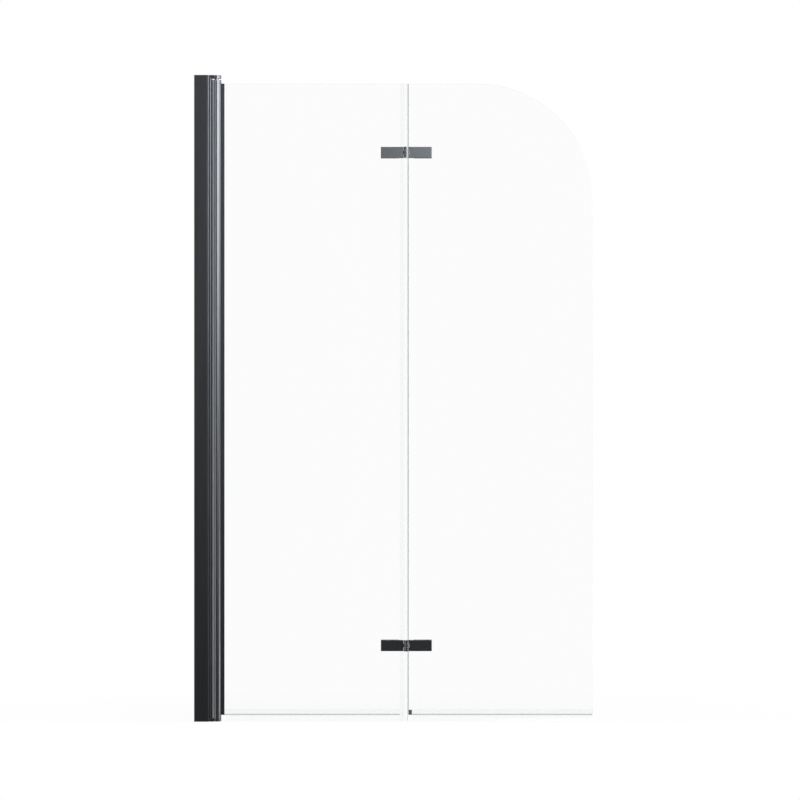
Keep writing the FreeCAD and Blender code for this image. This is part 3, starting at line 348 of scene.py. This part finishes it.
# Nodes whose sharp edges are broken, by how many millimetres
BROKEN_EDGES = {
    "wall_profile": 0.2,
    "pivot_profile": 0.2,
    "glass_profile": 0.2,
    "bottom_channel_cap": 0.25,
    "top_channel_cap": 0.25,
    "bottom_pivot_bush": 0.25,
    "top_pivot_bush": 0.25,
    "upper_hinge_inner_leaf": 0.2,
    "lower_hinge_inner_leaf": 0.2,
    "upper_hinge_outer_leaf": 0.2,
    "lower_hinge_outer_leaf": 0.2,
    "upper_hinge_inner_back_plate": 0.2,
    "lower_hinge_inner_back_plate": 0.2,
    "upper_hinge_outer_back_plate": 0.2,
    "lower_hinge_outer_back_plate": 0.2,
    "corner_stop": 0.3,
    "adjusting_covers": 0.25,
}


def is_crease(edge):
    """Whether an edge is a shallow fold between two wide faces."""
    wide = all(face.calc_area() > WIDE_FACE for face in edge.link_faces)
    return wide and CREASE_ANGLE < edge.calc_face_angle(0.0) <= SMOOTH_ANGLE


def mark_crisp_edges(bm):
    """Break the shading at sharp edges, at creases and just past a crease's ends, where it would blur."""
    for edge in bm.edges:
        edge.smooth = edge.calc_face_angle(0.0) <= SMOOTH_ANGLE
    for crease in filter(is_crease, bm.edges):
        crease.smooth = False
        for vert in crease.verts:
            for edge in vert.link_edges:
                if not set(edge.link_faces) & set(crease.link_faces):
                    edge.smooth = False


def stand_in(bm, node, *more_looks):
    """Make a piece of a mesh, with the node's material and body, and show it in the node's place."""
    bmesh.ops.recalc_face_normals(bm, faces=bm.faces)
    for face in bm.faces:
        face.smooth = True
    mark_crisp_edges(bm)
    mesh = bpy.data.meshes.new(f"{node}_piece")
    bm.to_mesh(mesh)
    bm.free()
    mesh.materials.append(look_of(node))
    for look in more_looks:
        mesh.materials.append(look)
    item = bpy.data.objects.new(f"{node}_piece", mesh)
    scene.collection.objects.link(item)
    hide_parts(node)
    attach(item, BODY_OF[node])
    return item


def extruded(cells, stops, place):
    """Mesh of cells along a run, without the sides that two cells share.

    A cell is a loop of points and the stretches, from one stop to the next, that it fills.
    """
    faces = {}

    def toggle(corners):
        key = frozenset(corners)
        if faces.pop(key, None) is None:
            faces[key] = corners

    for loop, stretches in cells:
        for step in stretches:
            low = [(u, v, step) for u, v in loop]
            high = [(u, v, step + 1) for u, v in loop]
            toggle(low)
            toggle(high)
            for i in range(len(loop)):
                j = (i + 1) % len(loop)
                toggle([low[i], low[j], high[j], high[i]])
    bm = bmesh.new()
    verts = {}
    for corners in faces.values():
        for u, v, step in corners:
            if (u, v, step) not in verts:
                verts[u, v, step] = bm.verts.new([c * MM for c in place(u, v, stops[step])])
        bm.faces.new([verts[c] for c in corners])
    return bm


def arc(centre, radius, start, end, count):
    """Points along an arc in degrees, rounded so that neighbours share them."""
    points = []
    for i in range(count + 1):
        angle = math.radians(start + (end - start) * i / count)
        x = centre[0] + radius * math.cos(angle)
        y = centre[1] + radius * math.sin(angle)
        points.append((round(x, 5), round(y, 5)))
    return points


# Millimetres of the clear seals. They clip on with some air, so that two clear surfaces never fall together
PANE_FACE = span("inner_glass", "Y")[1]
PANE_FOOT = span("inner_glass", "Z")[0]
CLIP_AIR = 0.08
CLIP_WALL = 0.8
CLIP_EASE = 0.25
CLIP_INSIDE = PANE_FACE + CLIP_AIR
CLIP_OUTSIDE = PANE_FACE + CLIP_WALL
NOTCH_GAP = 0.5

# The fold seal's bulb. Its hollow starts just past its root, and its rim just past its centre
BULB_RADIUS = 3.5
BULB_WALL = 0.6
BULB_STEPS = 20
HOLLOW_INSET = 0.15
RIM_INSET = 0.1

# The bottom seals' web under the pane, how far its look goes up the clip, and their lips
WEB_DEPTH = 1.7
WEB_RISE = 1.0
LIP_WALL = 0.9
LIP_BOW = 0.35
LIP_STEPS = 10


def fold_seal():
    """Clip on the inner pane's edge with a long hollow bulb, notched for the hinges and the corner stop."""
    start, end = span("fold_seal", "X")
    foot, head = span("fold_seal", "Z")
    pane_end = span("inner_glass", "X")[1]
    stop_start = span("corner_stop", "X")[0] - NOTCH_GAP
    stop_top = span("corner_stop", "Z")[1] + NOTCH_GAP
    edge = pane_end + CLIP_AIR
    root = pane_end + CLIP_WALL
    centre = end - BULB_RADIUS
    hollow = BULB_RADIUS - BULB_WALL

    front = [
        (start, -CLIP_INSIDE),
        (start, -CLIP_OUTSIDE + CLIP_EASE),
        (start + CLIP_EASE, -CLIP_OUTSIDE),
        (edge, -CLIP_OUTSIDE),
        (edge, -CLIP_INSIDE),
    ]
    rear = [(x, -y) for x, y in front]
    downs = [math.cos(math.pi * i / BULB_STEPS) for i in range(BULB_STEPS + 1)]
    base = [(root, round(BULB_RADIUS * down, 5)) for down in downs]
    outer = base + arc((centre, 0.0), BULB_RADIUS, -90.0, 90.0, BULB_STEPS)
    inner = [(root + HOLLOW_INSET, round(hollow * down, 5)) for down in downs]
    inner += arc((centre, 0.0), hollow, -90.0, 90.0, BULB_STEPS)
    web = [(edge, CLIP_OUTSIDE), (edge, CLIP_INSIDE), (edge, -CLIP_INSIDE), (edge, -CLIP_OUTSIDE)]
    web += [(root, -CLIP_OUTSIDE)] + base[::-1] + [(root, CLIP_OUTSIDE)]

    stops = [foot, stop_top]
    for leaf in ("lower_hinge_inner_leaf", "upper_hinge_inner_leaf"):
        low, high = span(leaf, "Z")
        stops += [low - NOTCH_GAP, high + NOTCH_GAP]
    stops.append(head)
    everywhere = range(len(stops) - 1)
    above_stop = everywhere[1:]
    clear_of_leaves = [0, 1, 3, 5]
    cells = [(front, clear_of_leaves), (rear, clear_of_leaves), (web, everywhere)]
    for i in range(len(outer)):
        j = (i + 1) % len(outer)
        loop = [outer[i], outer[j], inner[j], inner[i]]
        trimmed = max(x for x, y in loop) > stop_start
        cells.append((loop, above_stop if trimmed else everywhere))
    bm = extruded(cells, stops, lambda x, y, z: (x, y, z))
    for face in bm.faces:
        reach = face.calc_center_median().x / MM
        face.material_index = int(reach > root) + int(reach > centre + RIM_INSET)
    return stand_in(bm, "fold_seal", LOOKS["upright_soft"], LOOKS["upright_dense"])


def bottom_seal(node):
    """Clip along a pane's lower edge with two lips that curve down to the rim."""
    tip, top = span(node, "Z")
    reach = span(node, "Y")[1]
    seat = PANE_FOOT - CLIP_AIR
    web = PANE_FOOT - WEB_DEPTH
    web_top = PANE_FOOT + WEB_RISE

    outside = []
    inside = []
    for i in range(LIP_STEPS + 1):
        share = i / LIP_STEPS
        out = CLIP_OUTSIDE + (reach - CLIP_OUTSIDE) * share - LIP_BOW * math.sin(math.pi * share)
        height = web + (tip - web) * share
        outside.append((out, height))
        inside.append((out - LIP_WALL, height))
    half = [
        (CLIP_INSIDE, web_top),
        (CLIP_INSIDE, top),
        (CLIP_OUTSIDE - CLIP_EASE, top),
        (CLIP_OUTSIDE, top - CLIP_EASE),
        (CLIP_OUTSIDE, web_top),
    ]
    half += outside[:-1]
    half += [(reach, tip + CLIP_EASE), (reach - CLIP_EASE, tip)]
    half += [(reach - LIP_WALL + CLIP_EASE, tip), (reach - LIP_WALL, tip + CLIP_EASE)]
    half += inside[-2::-1]
    loop = [(CLIP_INSIDE, seat)] + half + [(-y, z) for y, z in half[::-1]] + [(-CLIP_INSIDE, seat)]

    bm = extruded([(loop, [0])], span(node, "X"), lambda y, z, x: (x, y, z))
    bm.normal_update()
    for face in bm.faces:
        height = face.calc_center_median().z / MM
        along = abs(face.normal.x) < 0.5
        if along and height < web_top:
            face.material_index = 2 if height > web else 1
    stand_in(bm, node, LOOKS["level_soft"], LOOKS["level_dense"])


def softened(node, width):
    """Copy of a node whose sharp edges are broken, as they are on a real one."""
    bm = bmesh.new()
    bm.from_mesh(nodes[node].data)
    bmesh.ops.remove_doubles(bm, verts=bm.verts, dist=SAME_POINT)
    bmesh.ops.dissolve_limit(bm, angle_limit=FLAT_ANGLE, verts=bm.verts, edges=bm.edges)
    sharp = [edge for edge in bm.edges if edge.is_manifold and edge.calc_face_angle() > SMOOTH_ANGLE]
    bmesh.ops.bevel(
        bm,
        geom=sharp,
        offset=width * MM,
        offset_type="OFFSET",
        segments=2,
        profile=0.5,
        affect="EDGES",
        clamp_overlap=True,
    )
    bmesh.ops.dissolve_degenerate(bm, dist=SAME_POINT, edges=bm.edges)
    item = stand_in(bm, node)
    weighted = item.modifiers.new("even_shading", "WEIGHTED_NORMAL")
    weighted.keep_sharp = True


for name, width in BROKEN_EDGES.items():
    softened(name, width)
fold_strip = fold_seal()
bottom_seal("inner_bottom_seal")
bottom_seal("outer_bottom_seal")

# Studio

FLOOR_DROP = 0.002
FLOOR_REACH = ((-1.6, 2.6), (-0.02, 3.0))
FLOOR_GREY = (0.9, 0.9, 0.9, 1.0)

# The floor turns from nearly white to white over a span of distances, in scaled and shifted coordinates
FLOOR_SCALE = (0.9, 1.3, 1.0)
FLOOR_SHIFT = (-0.45, -0.1, 0.0)
FLOOR_WHITES = (0.97, 1.0)
FLOOR_FADE = (0.5, 1.1)

# How bright the surroundings are in reflections and as plain light
BACKDROP_LEVELS = (0.0, 0.6)
BACKDROP_SPAN = (-0.10, 0.25)
ROOM_LEVELS = (0.03, 0.025)
ROOM_SPAN = (-0.25, 0.35)
AMBIENT_LEVEL = 0.15

WHITE = (1.0, 1.0, 1.0)


def studio_floor():
    """White floor under the part, which keeps a faint shadow near it."""
    (x0, x1), (y0, y1) = FLOOR_REACH
    corners = [(x0, y0), (x1, y0), (x1, y1), (x0, y1)]
    mesh = bpy.data.meshes.new("studio_floor")
    mesh.from_pydata([(x, y, -FLOOR_DROP) for x, y in corners], [], [(0, 1, 2, 3)])
    floor = bpy.data.objects.new("studio_floor", mesh)
    scene.collection.objects.link(floor)
    look = bpy.data.materials.new("studio_floor_look")
    look.use_nodes = True
    look.node_tree.nodes.clear()
    diffuse = add(look, "ShaderNodeBsdfDiffuse", {"Color": FLOOR_GREY})
    white = add(look, "ShaderNodeEmission", {"Color": (*WHITE, 1.0), "Strength": 1.0})
    path = add(look, "ShaderNodeLightPath").outputs
    seen = maths(look, "MAXIMUM", path["Is Camera Ray"], path["Is Glossy Ray"])
    seen = maths(look, "MAXIMUM", seen, path["Is Transmission Ray"])
    away = add(
        look,
        "ShaderNodeMapping",
        {"Vector": own_place(look), "Location": FLOOR_SHIFT, "Scale": FLOOR_SCALE},
    )
    length = add(look, "ShaderNodeVectorMath", {0: away.outputs["Vector"]}, operation="LENGTH")
    share = spread(look, length.outputs["Value"], *FLOOR_WHITES, *FLOOR_FADE)
    mix = add(
        look,
        "ShaderNodeMixShader",
        {0: maths(look, "MULTIPLY", seen, share), 1: diffuse.outputs[0], 2: white.outputs[0]},
    )
    add(look, "ShaderNodeOutputMaterial", {"Surface": mix.outputs[0]})
    mesh.materials.append(look)


def studio_world():
    """White to the camera and through glass. Metal reflects the white backdrop and a dim room in front."""
    world = bpy.data.worlds.new("studio")
    scene.world = world
    world.use_nodes = True
    world.node_tree.nodes.clear()
    path = add(world, "ShaderNodeLightPath").outputs
    ray = add(world, "ShaderNodeTexCoord").outputs["Generated"]
    way = add(world, "ShaderNodeSeparateXYZ", {"Vector": ray}).outputs
    backdrop = spread(world, way["Y"], *BACKDROP_LEVELS, *BACKDROP_SPAN)
    room = spread(world, way["Z"], *ROOM_LEVELS, *ROOM_SPAN)
    reflected = maths(world, "MAXIMUM", backdrop, room)
    seen = maths(world, "MAXIMUM", path["Is Camera Ray"], path["Is Transmission Ray"])
    ambient = spread(world, path["Is Glossy Ray"], AMBIENT_LEVEL, reflected, 0.0, 1.0)
    level = spread(world, seen, ambient, 1.0, 0.0, 1.0)
    light = add(world, "ShaderNodeBackground", {"Color": (*WHITE, 1.0), "Strength": level})
    add(world, "ShaderNodeOutputWorld", {"Surface": light.outputs[0]})


# The lamps. Left and right are points on the floor, heights and places are in metres
RIGHT_SOFTBOX = {
    "left": (0.625, -3.25),
    "right": (3.32, -1.61),
    "heights": (0.62, 2.785),
    "radiance": 9.1,
    "fades": (0.144, 0.409),
    "colour": (0.83, 0.90, 1.0),
}
SIDE_SOFTBOX = {
    "left": (3.2, -1.31),
    "right": (3.2, 0.86),
    "heights": (-1.7, 2.9),
    "radiance": 5.4,
    "fades": (0.2, 0.1),
    "colour": (0.95, 0.975, 1.0),
    "waist": 0.12,
}
LEFT_REFLECTOR = {
    "left": (-1.2, -3.0),
    "right": (-2.9, -0.6),
    "heights": (-0.6, 2.2),
    "radiance": 1.85,
    "fades": (0.2, 0.2),
}

# A lamp with a waist dims between these shares of its height, from an end to the middle
WAIST_SPAN = (0.28, 0.46)

# The point that the lamps face
PART_MIDDLE = (cad_box[0] + cad_box[1]) / 2


def softbox(name, left, right, heights, radiance, fades, colour=WHITE, waist=1.0):
    """Upright lamp between two points on the floor, which fades to its edges over shares of its size.

    The waist is the share of its light that is left at mid height.
    """
    low, high = heights
    first = Vector((*left, (low + high) / 2))
    last = Vector((*right, (low + high) / 2))
    width = (last - first).length
    data = bpy.data.lights.new(name, "AREA")
    data.shape = "RECTANGLE"
    data.size = width
    data.size_y = high - low
    data.energy = radiance * math.pi * width * (high - low)
    data.color = colour
    data.use_nodes = True
    place = add(data, "ShaderNodeNewGeometry").outputs["Parametric"]
    split = add(data, "ShaderNodeSeparateXYZ", {"Vector": place}).outputs
    across = maths(data, "PINGPONG", split["X"], 0.5)
    up = maths(data, "PINGPONG", split["Y"], 0.5)
    level = maths(data, "MULTIPLY", eased(data, across, 0.0, fades[0]), eased(data, up, 0.0, fades[1]))
    level = maths(data, "MULTIPLY", level, eased(data, up, *WAIST_SPAN, 1.0, waist))
    data.node_tree.links.new(level, data.node_tree.nodes["Emission"].inputs["Strength"])
    lamp = bpy.data.objects.new(name, data)
    scene.collection.objects.link(lamp)
    lamp.location = (first + last) / 2
    facing = Vector((0.0, 0.0, 1.0)).cross(last - first)
    if facing.dot(PART_MIDDLE - lamp.location) < 0.0:
        facing.negate()
    lamp.rotation_mode = "QUATERNION"
    lamp.rotation_quaternion = facing.to_track_quat("-Z", "Y")
    lamp.visible_camera = False
    lamp.visible_transmission = False
    return lamp


def keep_off(lamp, pieces):
    """Flag a lamp off some pieces, so that it isn't mirrored in them."""
    shaded = bpy.data.collections.new(f"{lamp.name}_flag")
    for piece in pieces:
        shaded.objects.link(piece)
    lamp.light_linking.receiver_collection = shaded
    for entry in shaded.collection_objects:
        entry.light_linking.link_state = "EXCLUDE"


CAMERA_PLACE = (0.4456, -7.5, 0.6964)
CAMERA_SENSOR = 36.0
CAMERA_LENS = 155.66


def camera():
    """Straight front view at the photograph's distance."""
    data = bpy.data.cameras.new("camera")
    data.sensor_width = CAMERA_SENSOR
    data.lens = CAMERA_LENS
    item = bpy.data.objects.new("camera", data)
    scene.collection.objects.link(item)
    item.location = CAMERA_PLACE
    item.rotation_euler = (math.pi / 2, 0.0, 0.0)
    scene.camera = item


studio_floor()
studio_world()
key = softbox("right_softbox", **RIGHT_SOFTBOX)
softbox("side_softbox", **SIDE_SOFTBOX)
softbox("left_reflector", **LEFT_REFLECTOR)
keep_off(key, [nodes["inner_glass"], nodes["outer_glass"], fold_strip])
camera()
scene.view_settings.view_transform = "Standard"
